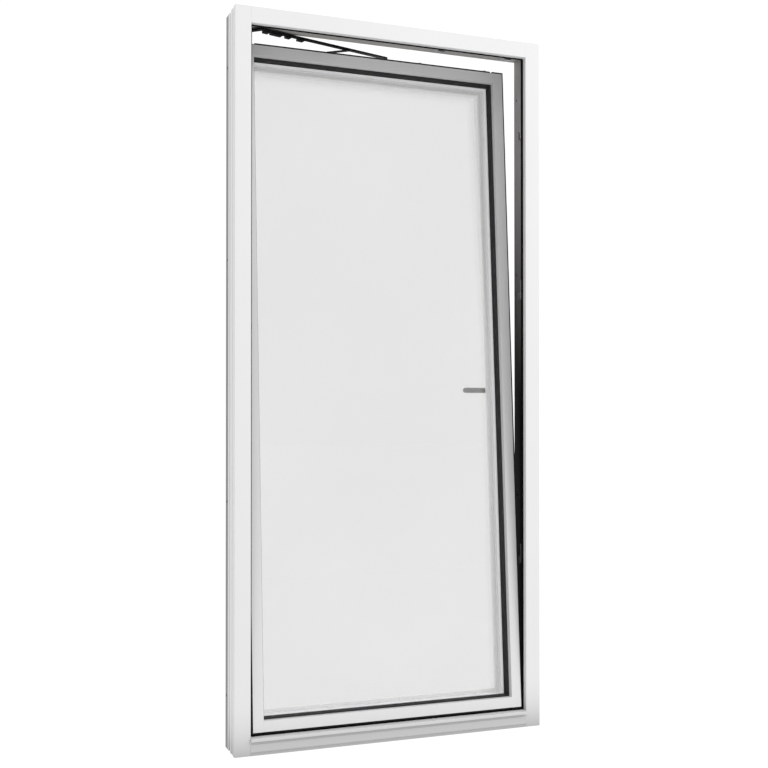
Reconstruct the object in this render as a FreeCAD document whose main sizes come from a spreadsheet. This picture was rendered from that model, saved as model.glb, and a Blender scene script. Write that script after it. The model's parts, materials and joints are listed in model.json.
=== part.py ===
"""Tilt-and-turn window of door height: frame, glazed sash, stay, hinges, handle and lock gear.

Origin: where the plane of the frame's outside face meets its bottom, at mid-width.
X runs to the right as seen from outside, Y into the room, Z up.  Millimetres.

The sash parts are drawn shut and then tilted about the tilt axis, because the window
rests with its sash tilted inwards, its stay open and its handle level.
"""
import FreeCAD, Part
import math
import os
import re
import Sketcher

SIZES = [
    ("frame_w", 948, "frame: outside width"),
    ("frame_h", 2088, "frame: outside height"),
    ("frame_d", 115, "frame: depth"),
    ("face_w", 46, "frame: width of the outside face"),
    ("flange_d", 17, "frame: depth of the flange behind the outside face"),
    ("shell_t", 5, "frame: thickness of the cladding on the outer side"),
    ("line_d", 13, "frame: depth of the fine line on the outer side"),
    ("step_d", 24, "frame: depth at which the outer side's shallow step starts"),
    ("step_end", 37, "frame: depth at which the shallow step ends"),
    ("step_t", 2, "frame: depth of the shallow step"),
    ("skin_t", 2.5, "aluminium cladding: wall"),
    ("wall_w", 26, "frame: thickness behind the flange"),
    ("core_d", 75, "frame: depth at which the core meets the wooden liner"),
    ("groove_d", 57, "frame: depth at which the outer groove starts"),
    ("groove_end", 74, "frame: depth at which the outer groove ends"),
    ("shell_d", 87, "frame: depth of the cladding on the outer side"),
    ("groove_t", 4, "frame: depth of the outer groove"),
    ("nose_out", 8, "sill: how far the nose stands in front of the face"),
    ("nose_top", 49, "sill: height of the nose's top"),
    ("nose_low", 39.5, "sill: height of the nose's drip edge"),
    ("apron_top", 31, "sill: height of the apron's top"),
    ("apron_out", 0.5, "sill: how far the apron stands in front of the face"),
    ("line_low", 6, "sill: bottom of the shadow groove"),
    ("line_high", 10, "sill: top of the shadow groove"),
    ("seal_root", 34, "frame gasket: outer edge, in from the frame's edge"),
    ("seal_lip", 51.8, "frame gasket: lip that the brim closes on, in from the frame's edge"),
    ("seal_t", 4.5, "frame gasket: thickness"),
    ("sash_edge", 56, "sash: cladding's edge, in from the frame's edge"),
    ("sash_front", 12, "sash: depth of the front face"),
    ("sash_face", 31, "sash: width of the front face"),
    ("return_d", 18, "sash: depth of the cladding's inner return"),
    ("clad_t", 2, "sash cladding: wall"),
    ("side_d", 15, "sash: depth of the cladding's outer return"),
    ("brim_edge", 47.2, "sash core: outer brim, in from the frame's edge"),
    ("brim_d", 22, "sash core: depth of the brim's front"),
    ("glass_line", 92, "sash: sight line of the glass, in from the frame's edge"),
    ("wood_edge", 38, "sash wood: outer edge, in from the frame's edge"),
    ("wood_d", 54, "sash wood: depth of its front"),
    ("sash_back", 110, "sash wood: depth of its back"),
    ("rebate_edge", 73, "sash: glazing rebate's edge, in from the frame's edge"),
    ("rod_groove", 10, "sash: depth of the hardware groove"),
    ("rod_line", 63, "sash: depth of the hardware groove's middle"),
    ("rod_half", 6, "sash: half width of the hardware groove"),
    ("glass_edge", 78, "glass: edge, in from the frame's edge"),
    ("glass_d", 58, "glass: depth of the outer pane's front"),
    ("pane_t", 4, "glass: thickness of a pane"),
    ("cavity", 12, "glass: width of a cavity"),
    ("spacer_edge", 84, "spacer: outer side, in from the frame's edge"),
    ("spacer_line", 93.5, "spacer: inner side, in from the frame's edge"),
    ("bead_t", 12, "glazing bead: depth"),
    ("bead_edge", 103, "glazing bead: inner edge, in from the frame's edge"),
    ("bead_bevel", 4, "glazing bead: bevel"),
    ("pad_w", 10, "glazing gasket: width"),
    ("tilt_y", 60, "tilt axis: depth"),
    ("tilt_z", 50, "tilt axis: height"),
    ("tilt_deg", 3.78, "tilt: opening angle"),
    ("turn_edge", 20, "turn axis: in from the frame's edge"),
    ("turn_y", 126, "turn axis: depth"),
    ("eye_r", 7, "hinges: radius of an eye"),
    ("pin_r", 3.5, "hinges: radius of a pin"),
    ("fit_gap", 0.05, "hinges: running clearance on the radius"),
    ("plate_t", 3, "hinges: thickness of a plate"),
    ("plate_w", 22, "hinges: width of a plate on the frame"),
    ("arm_t", 4.4, "stay: thickness of the arm"),
    ("arm_half", 7.5, "stay: half width of the arm"),
    ("arm_z", 2053.2, "stay: height of the arm's underside"),
    ("link_t", 2, "stay: thickness of the support link"),
    ("link_half", 7.5, "stay: half width of the support link"),
    ("pad_drop", 1.5, "stay: how far the pads reach below the arm"),
    ("pad_reach", 20, "stay: how far the pads reach towards the room"),
    ("arm_end", 517.2, "stay: arm's end pin, in from the frame's edge, shut"),
    ("arm_reach", 140, "stay: from the link's pivot to the arm's end pin"),
    ("link_len", 60.9, "stay: length of the support link"),
    ("stud_r", 3, "stay: radius of a sliding stud"),
    ("stud_drop", 10.2, "stay: how far a stud reaches below the arm"),
    ("slot_half", 4.6, "stay guide: half width of a slot"),
    ("handle_edge", 63, "handle: axis, in from the frame's edge"),
    ("handle_z", 1036, "handle: height of the axis"),
    ("grip_len", 97, "handle: from the axis to the grip's tip"),
    ("grip_w", 17, "handle: width of the grip"),
    ("grip_t", 12, "handle: thickness of the grip"),
    ("grip_y", 144, "handle: depth of the grip's outer side"),
    ("throw", 18, "lock gear: travel each way from the tilt position"),
    ("rod_t", 2.5, "lock gear: thickness of a rod"),
    ("rod_in", 43, "lock gear: rod's outer side, in from the frame's edge"),
    ("cam_r", 5.5, "lock gear: radius of a cam's head"),
    ("cam_stem", 3.5, "lock gear: radius of a cam's stem"),
    ("cam_out", 30, "lock gear: cam's end, in from the frame's edge"),
    ("keeper_out", 35.5, "keeper: its reach, in from the frame's edge"),
    ("keeper_t", 4, "keeper: thickness of a wall"),
    ("screw_r", 2, "screw: radius of the shank"),
    ("head_r", 3.6, "screw: radius of the head"),
    ("head_t", 1.6, "screw: height of the head"),
    ("fixing_r", 4, "fixing hole: radius"),
    ("fixing_d", 98, "fixing hole: depth of its axis"),
]

STILE_CAMS = (520, 1340, 1840)     # heights of the cams on the lock stile
TOP_CAMS = (633, 856)              # cams on the top rail, in from the left edge
ARM_PADS = ((93, 110), (117, 153), (167, 183), (208, 228))     # pads, in from the left edge, shut
FIXING_HEIGHTS = (150, 700, 1388, 1938)

doc = FreeCAD.newDocument("window")
sheet = doc.addObject("Spreadsheet::Sheet", "sizes")
for row, (alias, value, meaning) in enumerate(SIZES, start=1):
    sheet.set(f"A{row}", meaning)
    sheet.set(f"B{row}", str(value))
    sheet.setAlias(f"B{row}", alias)
doc.recompute()

pieces = []


def size(alias):
    """The sheet's value of one size."""
    return float(sheet.get(alias))


def bound(text):
    """An expression in which every size is read from the sheet."""
    return re.sub(r"[a-z]\w*", r"sizes.\g<0>", str(text))


def across(sign, edge):
    """X of a line that is edge in from the frame's left (-1) or right (1) side."""
    return f"{sign} * (frame_w / 2 - ({edge}))"


def below_top(edge):
    """Z of a line that is edge down from the frame's top."""
    return f"frame_h - ({edge})"


def turned(x, y, degrees):
    """A placement that turns a piece about an upright axis through (x, y)."""
    centre = FreeCAD.Vector(x, y, 0)
    return FreeCAD.Placement(FreeCAD.Vector(), FreeCAD.Rotation(FreeCAD.Vector(0, 0, 1), degrees), centre)


# ------------------------------------------------------------------ stay geometry
TILT = FreeCAD.Placement(
    FreeCAD.Vector(),
    FreeCAD.Rotation(FreeCAD.Vector(-1, 0, 0), size("tilt_deg")),
    FreeCAD.Vector(0, size("tilt_y"), size("tilt_z")))
TURN_X = size("turn_edge") - size("frame_w") / 2
TURN_Y = size("turn_y")
SASH_TOP = FreeCAD.Vector(0, size("rod_line"), size("frame_h") - size("wood_edge"))
OPEN_LINE = TILT.multVec(SASH_TOP).y                  # depth of the hardware groove, tilted
SHUT_DROP = TURN_Y - size("rod_line")
ARM_RUN = size("arm_end") - size("turn_edge")
ARM_LEN = math.hypot(ARM_RUN, SHUT_DROP)
ARM_TURN = math.asin((OPEN_LINE - TURN_Y) / ARM_LEN) + math.asin(SHUT_DROP / ARM_LEN)
ARM_OPEN = turned(TURN_X, TURN_Y, math.degrees(ARM_TURN))
PIVOT_X = size("arm_end") - size("arm_reach") - size("frame_w") / 2
PIVOT_OPEN = ARM_OPEN.multVec(FreeCAD.Vector(PIVOT_X, size("rod_line"), 0))
LINK_TURN = -math.asin((OPEN_LINE - PIVOT_OPEN.y) / size("link_len"))
LINK_OPEN = FreeCAD.Placement(
    PIVOT_OPEN - FreeCAD.Vector(PIVOT_X, size("rod_line"), 0), FreeCAD.Rotation()
).multiply(turned(PIVOT_X, size("rod_line"), math.degrees(LINK_TURN)))


# ------------------------------------------------------------------ builders
def prism(name, plane, corners, start, end):
    """A body whose outline, given as expressions, is padded from start to end."""
    body = doc.addObject("PartDesign::Body", name)
    face = next(f for f in body.Origin.OriginFeatures if f.Role == plane)
    sketch = body.newObject("Sketcher::SketchObject", name + "_outline")
    sketch.AttachmentSupport = [(face, "")]
    sketch.MapMode = "FlatFace"
    sketch.setExpression("AttachmentOffset.Base.z", bound(start))
    count = len(corners)
    ring = [FreeCAD.Vector(math.cos(2 * math.pi * i / count), math.sin(2 * math.pi * i / count), 0)
            for i in range(count)]
    for i in range(count):
        sketch.addGeometry(Part.LineSegment(ring[i], ring[(i + 1) % count]))
    for i in range(count):
        sketch.addConstraint(Sketcher.Constraint("Coincident", i, 2, (i + 1) % count, 1))
    for i, corner in enumerate(corners):
        for kind, place in zip(("DistanceX", "DistanceY"), corner):
            index = sketch.addConstraint(Sketcher.Constraint(kind, -1, 1, i, 1, 1.0))
            sketch.setExpression(f"Constraints[{index}]", bound(place))
    pad = body.newObject("PartDesign::Pad", name + "_pad")
    pad.Profile = sketch
    pad.setExpression("Length", bound(f"({end}) - ({start})"))
    body.Tip = pad
    return body


def block(name, low, high):
    """A box between two corners, each three expressions."""
    box = doc.addObject("Part::Box", name)
    for side, start, end in zip(("Length", "Width", "Height"), low, high):
        box.setExpression(side, bound(f"({end}) - ({start})"))
    for axis, start in zip("xyz", low):
        box.setExpression(f"Placement.Base.{axis}", bound(start))
    return box


def rod(name, radius, base, length, axis="z"):
    """A cylinder from base along +X, +Y or +Z."""
    cylinder = doc.addObject("Part::Cylinder", name)
    cylinder.setExpression("Radius", bound(radius))
    cylinder.setExpression("Height", bound(length))
    turns = {"x": FreeCAD.Rotation(FreeCAD.Vector(0, 1, 0), 90),
             "y": FreeCAD.Rotation(FreeCAD.Vector(1, 0, 0), -90),
             "z": FreeCAD.Rotation()}
    cylinder.Placement = FreeCAD.Placement(FreeCAD.Vector(), turns[axis])
    for letter, start in zip("xyz", base):
        cylinder.setExpression(f"Placement.Base.{letter}", bound(start))
    return cylinder


def join(name, shapes):
    """Several shapes as one piece, or as one group of separate pieces."""
    if len(shapes) == 1:
        return shapes[0]
    fuse = doc.addObject("Part::MultiFuse", name)
    fuse.Shapes = shapes
    return fuse


def cut(name, base, tool):
    """base with tool taken out of it."""
    result = doc.addObject("Part::Cut", name)
    result.Base = base
    result.Tool = tool
    return result


def pin(name, radius, base, length):
    """A plain pin along X with chamfered ends."""
    chamfer = doc.addObject("Part::Chamfer", name)
    chamfer.Base = rod(name + "Shank", radius, base, length, "x")
    chamfer.Edges = [(edge, 0.6, 0.6) for edge in (1, 3)]
    return chamfer


def keep(piece, label, placement=None):
    """List a finished piece under its own name, moved from shut to its rest place."""
    piece.Label = label
    if placement:
        piece.Placement = placement
    pieces.append(piece)


def member(name, where, section, reach):
    """A straight bar on one side of the window.

    section lists corners as (distance in from the frame's edge, depth); both ends of the bar
    stop at reach in from the frame's edge.
    """
    if where in ("left", "right"):
        sign = -1 if where == "left" else 1
        corners = [(across(sign, edge), depth) for edge, depth in section]
        return prism(name, "XY_Plane", corners, reach, below_top(reach))
    corners = [(depth, edge if where == "bottom" else below_top(edge)) for edge, depth in section]
    return prism(name, "YZ_Plane", corners, across(-1, reach), across(1, reach))


def ring(name, outer, inner, front, back):
    """A rectangular ring round the opening, between two edge lines and two depths."""
    outside = block(name + "_outside", (across(-1, outer), front, outer),
                    (across(1, outer), back, below_top(outer)))
    inside = block(name + "_inside", (across(-1, inner), f"{front} - 1", inner),
                   (across(1, inner), f"{back} + 1", below_top(inner)))
    return cut(name, outside, inside)


def pane(name, front):
    """One glass pane."""
    corners = [(across(-1, "glass_edge"), front), (across(1, "glass_edge"), front),
               (across(1, "glass_edge"), f"{front} + pane_t"),
               (across(-1, "glass_edge"), f"{front} + pane_t")]
    return prism(name, "XY_Plane", corners, "glass_edge", below_top("glass_edge"))


# ------------------------------------------------------------------ frame
def build_frame():
    cladding = [("0", "0"), ("face_w", "0"), ("face_w", "flange_d"), ("face_w - skin_t", "flange_d"),
                ("face_w - skin_t", "skin_t"), ("shell_t", "skin_t"), ("shell_t", "shell_d"),
                ("0", "shell_d"), ("0", "groove_end"), ("groove_t", "groove_end"),
                ("groove_t", "groove_d"), ("0", "groove_d"), ("0", "step_end"), ("step_t", "step_end"),
                ("step_t", "step_d"), ("0", "step_d"), ("0", "line_d + 1"), ("step_t", "line_d"),
                ("0", "line_d - 1")]
    core = [("shell_t", "skin_t"), ("face_w - skin_t", "skin_t"), ("face_w - skin_t", "flange_d"),
            ("wall_w", "flange_d"), ("wall_w", "core_d"), ("shell_t", "core_d")]
    liner = [("shell_t", "core_d"), ("wall_w", "core_d"), ("wall_w", "frame_d"), ("0", "frame_d"),
             ("0", "shell_d"), ("shell_t", "shell_d")]
    for where, sign in (("left", -1), ("right", 1)):
        keep(member("JambCladding" + where, where, cladding, "0"), f"jamb_cladding_{where}")
        keep(member("JambCore" + where, where, core, "0"), f"jamb_core_{where}")
        solid = member("JambLinerSolid" + where, where, liner, "0")
        low_x = across(sign, "wall_w + 1") if sign > 0 else across(sign, "-1")
        holes = join("FixingHoles" + where, [
            rod(f"Fixing{where}{height}", "fixing_r", (low_x, "fixing_d", height), "wall_w + 2", "x")
            for height in FIXING_HEIGHTS])
        keep(cut("JambLiner" + where, solid, holes), f"jamb_liner_{where}")

    head_face = member("HeadFace", "top", cladding, "face_w")
    head_shell = block("HeadShell", (across(-1, "wall_w"), "flange_d", below_top("shell_t")),
                       (across(1, "wall_w"), "groove_d", below_top("0")))
    keep(join("HeadCladding", [head_face, head_shell]), "head_cladding")
    head_front = block("HeadCoreFront", (across(-1, "face_w"), "skin_t", below_top("face_w - skin_t")),
                       (across(1, "face_w"), "flange_d", below_top("shell_t")))
    head_back = block("HeadCoreBack", (across(-1, "wall_w"), "flange_d", below_top("wall_w")),
                      (across(1, "wall_w"), "core_d", below_top("shell_t")))
    keep(join("HeadCore", [head_front, head_back]), "head_core")
    keep(member("HeadLiner", "top", liner, "wall_w"), "head_liner")

    nose = [("nose_top", "flange_d"), ("nose_top", "-nose_out / 2"), ("nose_top - 2", "-nose_out"),
            ("nose_low", "-nose_out"), ("nose_low", "skin_t - nose_out"),
            ("nose_top - skin_t", "skin_t - nose_out"), ("nose_top - skin_t", "flange_d")]
    keep(member("SillNose", "bottom", nose, "face_w"), "sill_nose")
    apron = [("0", "clad_t"), ("0", "-apron_out"), ("line_low", "-apron_out"),
             ("line_low", "clad_t - 1"), ("line_high", "clad_t - 1"), ("line_high", "-apron_out"),
             ("apron_top", "-apron_out"), ("apron_top", "clad_t - 1.5"),
             ("nose_top - skin_t", "clad_t - 1.5"), ("nose_top - skin_t", "clad_t")]
    keep(member("SillApron", "bottom", apron, "face_w"), "sill_apron")
    sill_front = block("SillCoreFront", (across(-1, "face_w"), "clad_t", "0"),
                       (across(1, "face_w"), "flange_d", "nose_top - skin_t"))
    sill_back = block("SillCoreBack", (across(-1, "wall_w"), "flange_d", "0"),
                      (across(1, "wall_w"), "core_d", "wall_w"))
    keep(join("SillCore", [sill_front, sill_back]), "sill_core")
    keep(member("SillLiner", "bottom", [("0", "core_d"), ("wall_w", "core_d"), ("wall_w", "frame_d"),
                                        ("0", "frame_d")], "wall_w"), "sill_liner")
    keep(ring("FrameGasket", "seal_root", "seal_lip", "flange_d", "flange_d + seal_t"), "frame_gasket")


# ------------------------------------------------------------------ hinges and stay
def build_hinges():
    axis_x = across(-1, "turn_edge")

    def bearing(name, low, high, lugs):
        """A plate on the jamb's inside face with lugs round the turn axis."""
        shapes = [block(name + "Plate", (across(-1, "2"), "frame_d", low),
                        (across(-1, "2 + plate_w"), "frame_d + plate_t", high))]
        holes = []
        for number, (start, end) in enumerate(lugs):
            tall = f"({end}) - ({start})"
            shapes.append(rod(f"{name}Lug{number}", "eye_r", (axis_x, "turn_y", start), tall))
            shapes.append(block(f"{name}Web{number}", (across(-1, "turn_edge - 5"), "frame_d", start),
                                (across(-1, "turn_edge + 4"), "turn_y", end)))
            holes.append(rod(f"{name}Bore{number}", "pin_r", (axis_x, "turn_y", f"{start} - 1"),
                             f"{tall} + 2"))
        return cut(name, join(name + "Solid", shapes), join(name + "Bores", holes))

    keep(bearing("LowerBearing", "14", "74", [("20", "40"), ("60", "68")]), "lower_bearing")
    keep(bearing("StayBearing", "arm_z - 31", "arm_z + 24",
                 [("arm_z - 11", "arm_z - 0.4"), ("arm_z + arm_t + 0.4", "arm_z + arm_t + 8")]),
         "stay_bearing")
    keep(join("HingePins", [
        rod("LowerPin", "pin_r", (axis_x, "turn_y", "18"), "52"),
        rod("StayPin", "pin_r", (axis_x, "turn_y", "arm_z - 13"), "arm_t + 23")]), "hinge_pins")

    screws = []
    for level, heights in (("Lower", ("48", "56")), ("Upper", ("arm_z - 25", "arm_z - 17"))):
        for height, inset in zip(heights, ("6", "9.5")):
            tag = level + inset.replace(".", "_")
            screws.append(rod("BearingHead" + tag, "head_r",
                              (across(-1, inset), "frame_d + plate_t", height), "head_t", "y"))
            screws.append(rod("BearingShank" + tag, "screw_r",
                              (across(-1, inset), "frame_d - 20", height), "20 + plate_t", "y"))
    keep(join("BearingScrews", screws), "bearing_screws")

    eye = rod("KnuckleEye", "eye_r", (axis_x, "turn_y", "40.6"), "18.8")
    bridge = block("KnuckleBridge", (axis_x, "turn_y - 5", "44"), (across(-1, "34"), "turn_y + 5", "57"))
    plate = block("KnucklePlate", (across(-1, "28.5"), "tilt_y - 6", "44"),
                  (across(-1, "34"), "turn_y + 5", "57"))
    bore = rod("KnuckleBore", "pin_r + fit_gap", (axis_x, "turn_y", "38"), "24")
    seat = rod("KnucklePinSeat", "3", (across(-1, "27"), "tilt_y", "tilt_z"), "8", "x")
    keep(cut("HingeKnuckle", join("KnuckleSolid", [eye, bridge, plate]), join("KnuckleBores", [bore, seat])),
         "hinge_knuckle")
    keep(pin("TiltPin", "3", (across(-1, "28.5"), "tilt_y", "tilt_z"), "31.5"), "tilt_pin")


def build_stay():
    axis_x = across(-1, "turn_edge")
    crank_x, line_x = "turn_edge + 16", "turn_edge + 60"
    outline = [(axis_x, "turn_y + arm_half"), (axis_x, "turn_y - arm_half"),
               (across(-1, f"{crank_x} - 3"), "turn_y - arm_half"),
               (across(-1, f"{line_x} - 4"), "rod_line - arm_half"),
               (across(-1, "arm_end"), "rod_line - arm_half"),
               (across(-1, "arm_end"), "rod_line + arm_half"),
               (across(-1, f"{line_x} + 4"), "rod_line + arm_half"),
               (across(-1, f"{crank_x} + 3"), "turn_y + arm_half")]
    bar = prism("ArmBar", "XY_Plane", outline, "arm_z", "arm_z + arm_t")
    eye = rod("ArmEye", "eye_r", (axis_x, "turn_y", "arm_z"), "arm_t")
    tip = rod("ArmTip", "arm_half", (across(-1, "arm_end"), "rod_line", "arm_z"), "arm_t")
    pads = [block(f"ArmPad{low}", (across(-1, low), "rod_line", "arm_z - pad_drop"),
                  (across(-1, high), "rod_line + pad_reach", "arm_z + arm_t"))
            for low, high in ARM_PADS]
    bores = join("ArmBores", [
        rod("ArmBore", "pin_r + fit_gap", (axis_x, "turn_y", "arm_z - 1"), "arm_t + 2"),
        rod("ArmPivotBore", "stud_r", (across(-1, "arm_end - arm_reach"), "rod_line", "arm_z - 1"),
            "arm_t + 2"),
        rod("ArmTipBore", "stud_r", (across(-1, "arm_end"), "rod_line", "arm_z - 1"), "arm_t + 2")])
    keep(cut("StayArm", join("ArmSolid", [bar, eye, tip] + pads), bores), "stay_arm", ARM_OPEN)
    studs = [rod("TipStud", "stud_r", (across(-1, "arm_end"), "rod_line", "arm_z - stud_drop"),
                 "stud_drop + arm_t"),
             rod("TipHead", "stud_r + 1.5", (across(-1, "arm_end"), "rod_line", "arm_z + arm_t"), "1"),
             rod("PivotStud", "stud_r", (across(-1, "arm_end - arm_reach"), "rod_line",
                                         "arm_z - link_t - 0.4"), "link_t + arm_t + 1.4"),
             rod("PivotHead", "stud_r + 1.5",
                 (across(-1, "arm_end - arm_reach"), "rod_line", "arm_z + arm_t"), "1")]
    keep(join("ArmStuds", studs), "arm_studs", ARM_OPEN)

    pivot_x = across(-1, "arm_end - arm_reach")
    slide_x = across(-1, "arm_end - arm_reach - link_len")
    link_z = "arm_z - link_t - 0.4"
    link = join("LinkSolid", [
        block("LinkBar", (slide_x, "rod_line - link_half", link_z),
              (pivot_x, "rod_line + link_half", f"{link_z} + link_t")),
        rod("LinkEyeA", "link_half", (pivot_x, "rod_line", link_z), "link_t"),
        rod("LinkEyeB", "link_half", (slide_x, "rod_line", link_z), "link_t")])
    link_bore = rod("LinkBore", "stud_r + fit_gap", (pivot_x, "rod_line", f"{link_z} - 1"), "link_t + 2")
    stud = rod("LinkStud", "stud_r", (slide_x, "rod_line", "arm_z - stud_drop"), "stud_drop - 1")
    keep(cut("StayLink", join("LinkWithStud", [link, stud]), link_bore), "stay_link", LINK_OPEN)


# ------------------------------------------------------------------ sash
def build_sash():
    face_in = "sash_edge + sash_face"
    back = "sash_front + return_d"
    cladding = [("sash_edge", "sash_front"), (face_in, "sash_front"), (face_in, back),
                (f"{face_in} - clad_t", back), (f"{face_in} - clad_t", "sash_front + clad_t"),
                ("sash_edge + clad_t", "sash_front + clad_t"), ("sash_edge + clad_t", "side_d"),
                ("sash_edge", "side_d")]
    core = [("sash_edge + clad_t", "sash_front + clad_t"), (f"{face_in} - clad_t", "sash_front + clad_t"),
            (f"{face_in} - clad_t", back), ("glass_line", back), ("glass_line", "wood_d"),
            ("brim_edge", "wood_d"), ("brim_edge", "brim_d"), ("sash_edge", "brim_d"),
            ("sash_edge", "side_d"), ("sash_edge + clad_t", "side_d")]
    wood = [("wood_edge", "wood_d"), ("rebate_edge", "wood_d"), ("rebate_edge", "sash_back"),
            ("wood_edge", "sash_back"), ("wood_edge", "rod_line + rod_half"),
            ("wood_edge + rod_groove", "rod_line + rod_half"),
            ("wood_edge + rod_groove", "rod_line - rod_half"), ("wood_edge", "rod_line - rod_half")]
    bead = [("rebate_edge", "sash_back - bead_t"), ("bead_edge", "sash_back - bead_t"),
            ("bead_edge", "sash_back - bead_bevel"), ("bead_edge - bead_bevel", "sash_back"),
            ("rebate_edge", "sash_back")]

    upright, level = ("sash_edge", "brim_edge", "wood_edge"), (face_in, "glass_line", "rebate_edge")
    ends = {"left": upright, "right": upright, "top": level, "bottom": level}
    for where, (clad_end, core_end, wood_end) in ends.items():
        keep(member("SashCladding" + where, where, cladding, clad_end), f"sash_cladding_{where}", TILT)
        solid = member("SashCoreSolid" + where, where, core, core_end)
        trim = ring("SashCoreTrim" + where, "brim_edge - 1", "sash_edge", "sash_front", "brim_d")
        keep(cut("SashCore" + where, solid, trim), f"sash_core_{where}", TILT)
        solid = member("SashWoodSolid" + where, where, wood, wood_end)
        holes = {
            "left": lambda: [rod("TiltPinHole", "3 + fit_gap",
                                 (across(-1, "wood_edge + 1"), "tilt_y", "tilt_z"), "24", "x")],
            "right": lambda: [
                block("GearPocket", (across(1, "71.9"), "rod_line - rod_half", "handle_z - 66"),
                      (across(1, "wood_edge + 5"), "rod_line + rod_half", "handle_z + 66")),
                rod("SpindleHole", "7", (across(1, "handle_edge"), "rod_line", "handle_z"),
                    "sash_back - rod_line + 1", "y"),
                rod("PivotHole", "4", (across(1, "wood_edge + 22"), "tilt_y", "tilt_z"), "24", "x"),
                block("CornerGroove", (across(1, "rebate_edge + 1"), "rod_line - rod_half",
                                       below_top("wood_edge + rod_groove")),
                      (across(1, "wood_edge - 1"), "rod_line + rod_half", below_top("wood_edge - 1")))],
        }
        if where in holes:
            tool = join("WoodHoles" + where, holes[where]())
            keep(cut("SashWood" + where, solid, tool), f"sash_wood_{where}", TILT)
        else:
            keep(solid, f"sash_wood_{where}", TILT)
    keep(join("BeadsUpright", [member("Bead" + side, side, bead, "rebate_edge")
                               for side in ("left", "right")]), "glazing_beads_upright", TILT)
    keep(join("BeadsCross", [member("Bead" + side, side, bead, "bead_edge")
                             for side in ("top", "bottom")]), "glazing_beads_cross", TILT)

    step = "pane_t + cavity"
    for number, label in enumerate(("outer", "middle", "inner")):
        keep(pane("Glass" + label, f"glass_d + {number} * ({step})"), f"glass_{label}", TILT)
    spacers = []
    seals = []
    for number, label in enumerate(("outer", "inner")):
        front = f"glass_d + pane_t + {number} * ({step})"
        spacers.append(ring("Spacer" + label, "spacer_edge", "spacer_line", front, f"{front} + cavity"))
        seals.append(ring("EdgeSeal" + label, "glass_edge", "spacer_edge", front, f"{front} + cavity"))
    keep(join("Spacers", spacers), "glass_spacers", TILT)
    keep(join("EdgeSeals", seals), "edge_seals", TILT)
    keep(ring("GasketOuter", "glass_line - pad_w", "glass_line - 0.5", "wood_d", "glass_d"),
         "glazing_gasket_outer", TILT)
    glass_back = f"glass_d + 2 * ({step}) + pane_t"
    keep(ring("GasketInner", "bead_edge - pad_w", "bead_edge - 0.5", glass_back, "sash_back - bead_t"),
         "glazing_gasket_inner", TILT)
    blocks = [block(f"SettingBlock{number}", (f"{middle} - 50", "glass_d", "rebate_edge"),
                    (f"{middle} + 50", glass_back, "glass_edge"))
              for number, middle in enumerate(("-frame_w / 2 + 220", "frame_w / 2 - 220"))]
    blocks.append(block("SettingBlock2", (across(1, "glass_edge"), "glass_d", "300"),
                        (across(1, "rebate_edge"), glass_back, "400")))
    blocks.append(block("SettingBlock3", (across(-1, "rebate_edge"), "glass_d", "1700"),
                        (across(-1, "glass_edge"), glass_back, "1800")))
    keep(join("SettingBlocks", blocks), "setting_blocks", TILT)


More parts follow.
